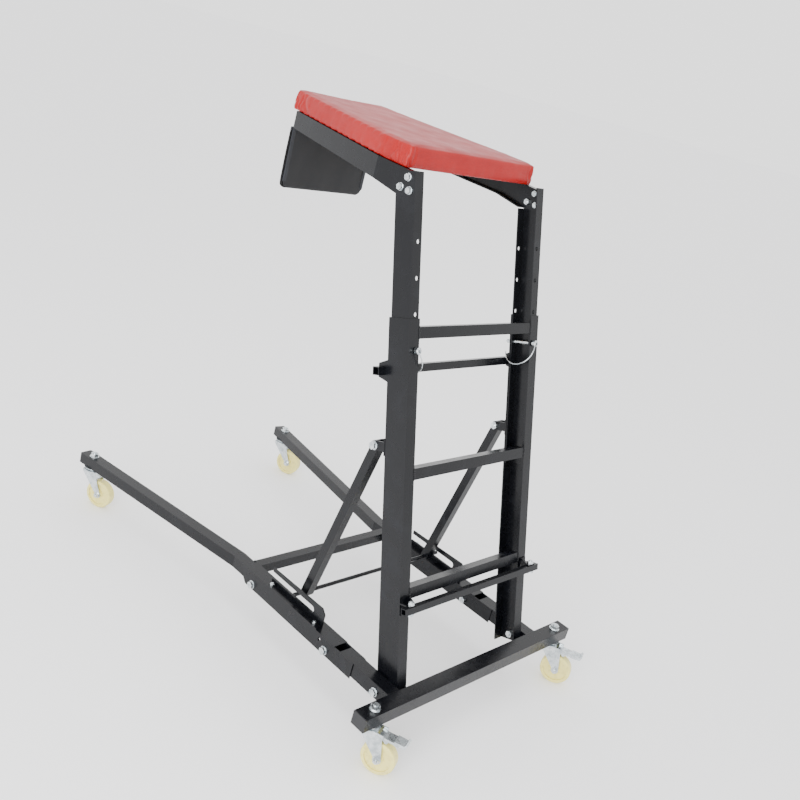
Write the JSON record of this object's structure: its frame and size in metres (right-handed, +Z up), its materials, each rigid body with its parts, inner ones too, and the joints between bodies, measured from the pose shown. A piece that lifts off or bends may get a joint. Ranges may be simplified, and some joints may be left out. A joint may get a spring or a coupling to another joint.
{
  "type": "topside creeper",
  "caption": "Foldable topside mechanics creeper: wheeled splayed base, leaning telescoping ladder with rungs, padded chest deck on arms and a hanging tool pouch.",
  "frame": {"origin": "on the floor, under the middle of the footprint", "axes": "+X to the right of a person standing on the rungs, +Y ahead of that person towards the splayed legs, +Z up"},
  "size_m": [0.7589, 1.3101, 1.2628],
  "materials": {
    "black_painted_steel": "semi-gloss near-black powder coat",
    "zinc_caster_steel": "bright zinc-plated pressed steel",
    "zinc_fasteners": "bright zinc-plated fasteners and wire",
    "cream_nylon": "cast cream nylon",
    "black_plastic": "moulded black tube plugs",
    "red_vinyl": "grained red upholstery vinyl over foam",
    "plywood": "plywood base board",
    "black_nylon_cloth": "black woven nylon"
  },
  "bodies": {
    "base": {"base_bolts": "zinc_fasteners", "bracket_bolts": "zinc_fasteners", "caster_nuts": "zinc_fasteners", "caster_stems": "zinc_caster_steel", "cross_tube": "black_painted_steel", "crossbar_end_caps": "black_plastic", "leg_end_caps": "black_plastic", "leg_left": "black_painted_steel", "leg_right": "black_painted_steel", "pivot_bolts": "zinc_fasteners", "rail_left": "black_painted_steel", "rail_right": "black_painted_steel", "rear_crossbar": "black_painted_steel", "slot_bracket_left": "black_painted_steel", "slot_bracket_right": "black_painted_steel", "stub_left": "black_painted_steel", "stub_right": "black_painted_steel"},
    "ladder": {"clevis_bolts": "zinc_fasteners", "handle_bar": "black_painted_steel", "handle_ears": "black_painted_steel", "rung_lower": "black_painted_steel", "rung_middle": "black_painted_steel", "rung_upper": "black_painted_steel", "step_bar": "black_painted_steel", "step_bolts": "zinc_fasteners", "step_brackets": "black_painted_steel", "strut_clevises": "black_painted_steel", "upright_left": "black_painted_steel", "upright_right": "black_painted_steel"},
    "struts": {"strut_left": "black_painted_steel", "strut_right": "black_painted_steel", "tie_rod": "black_painted_steel"},
    "upper_frame": {"arm_bolts": "zinc_fasteners", "arm_left": "black_painted_steel", "arm_right": "black_painted_steel", "inner_channel_left": "black_painted_steel", "inner_channel_right": "black_painted_steel", "pad": "red_vinyl", "pad_board": "plywood", "pad_crossbar": "black_painted_steel", "pouch": "black_nylon_cloth"},
    "caster_front_left": {"axle_front_left": "zinc_fasteners", "fork_front_left": "zinc_caster_steel"},
    "caster_front_right": {"axle_front_right": "zinc_fasteners", "fork_front_right": "zinc_caster_steel"},
    "caster_rear_left": {"axle_rear_left": "zinc_fasteners", "fork_rear_left": "zinc_caster_steel"},
    "caster_rear_right": {"axle_rear_right": "zinc_fasteners", "fork_rear_right": "zinc_caster_steel"},
    "bail_left": {"bail_left": "zinc_fasteners"},
    "bail_right": {"bail_right": "zinc_fasteners"},
    "brake_left": {"brake_pedal_left": "zinc_caster_steel"},
    "brake_right": {"brake_pedal_right": "zinc_caster_steel"},
    "lock_pin_left": {"lock_pin_left": "zinc_fasteners"},
    "lock_pin_right": {"lock_pin_right": "zinc_fasteners"},
    "wheel_front_left": {"wheel_front_left": "cream_nylon"},
    "wheel_front_right": {"wheel_front_right": "cream_nylon"},
    "wheel_rear_left": {"wheel_rear_left": "cream_nylon"},
    "wheel_rear_right": {"wheel_rear_right": "cream_nylon"}
  },
  "joints": [
    {"name": "swivel_rear_left", "type": "hinge", "parent": "base", "child": "caster_rear_left", "pos_m": [-0.327, -0.565, 0.102], "axis": [0, 0, 1], "continuous": true},
    {"name": "roll_rear_left", "type": "hinge", "parent": "caster_rear_left", "child": "wheel_rear_left", "pos_m": [-0.31154, -0.59971, 0.04], "axis": [0.9135, 0.4067, 0], "continuous": true},
    {"name": "swivel_rear_right", "type": "hinge", "parent": "base", "child": "caster_rear_right", "pos_m": [0.327, -0.565, 0.102], "axis": [0, 0, 1], "continuous": true},
    {"name": "roll_rear_right", "type": "hinge", "parent": "caster_rear_right", "child": "wheel_rear_right", "pos_m": [0.34246, -0.59971, 0.04], "axis": [0.9135, 0.4067, 0], "continuous": true},
    {"name": "swivel_front_left", "type": "hinge", "parent": "base", "child": "caster_front_left", "pos_m": [-0.34718, 0.61549, 0.102], "axis": [0, 0, 1], "continuous": true},
    {"name": "roll_front_left", "type": "hinge", "parent": "caster_front_left", "child": "wheel_front_left", "pos_m": [-0.33173, 0.58078, 0.04], "axis": [0.9135, 0.4067, 0], "continuous": true},
    {"name": "swivel_front_right", "type": "hinge", "parent": "base", "child": "caster_front_right", "pos_m": [0.34718, 0.61549, 0.102], "axis": [0, 0, 1], "continuous": true},
    {"name": "roll_front_right", "type": "hinge", "parent": "caster_front_right", "child": "wheel_front_right", "pos_m": [0.36264, 0.58078, 0.04], "axis": [0.9135, 0.4067, 0], "continuous": true},
    {"name": "brake_left", "type": "hinge", "parent": "caster_rear_left", "child": "brake_left", "pos_m": [-0.31439, -0.59332, 0.0946], "axis": [0.9135, 0.4067, 0], "range_deg": [0, 9]},
    {"name": "brake_right", "type": "hinge", "parent": "caster_rear_right", "child": "brake_right", "pos_m": [0.33961, -0.59332, 0.0946], "axis": [0.9135, 0.4067, 0], "range_deg": [0, 9]},
    {"name": "ladder_fold", "type": "hinge", "parent": "base", "child": "ladder", "pos_m": [0, -0.506, 0.121], "axis": [-1, 0, 0], "range_deg": [-2.5, 53]},
    {"name": "strut_swing", "type": "hinge", "parent": "ladder", "child": "struts", "pos_m": [0, -0.28738, 0.61273], "axis": [1, 0, 0], "range_deg": [-6.5, 137.8]},
    {"name": "height_slide", "type": "slide", "parent": "ladder", "child": "upper_frame", "axis": [0, 0.2974, 0.9548], "range_m": [-0.225, 0.225]},
    {"name": "lock_pin_left", "type": "slide", "parent": "ladder", "child": "lock_pin_left", "axis": [0, -0.9548, 0.2974], "range_m": [0, 0.085]},
    {"name": "bail_left", "type": "hinge", "parent": "lock_pin_left", "child": "bail_left", "pos_m": [-0.2075, -0.31889, 0.84616], "axis": [-0.891, -0.135, -0.4335], "range_deg": [0, 66]},
    {"name": "lock_pin_right", "type": "slide", "parent": "ladder", "child": "lock_pin_right", "axis": [0, -0.9548, 0.2974], "range_m": [0, 0.085]},
    {"name": "bail_right", "type": "hinge", "parent": "lock_pin_right", "child": "bail_right", "pos_m": [0.2075, -0.31889, 0.84616], "axis": [-0.891, 0.135, 0.4335], "range_deg": [0, 66]}
  ],
  "couplings": [
    {"joint": "strut_swing", "follows": "ladder_fold", "ratio": 2.6}
  ]
}
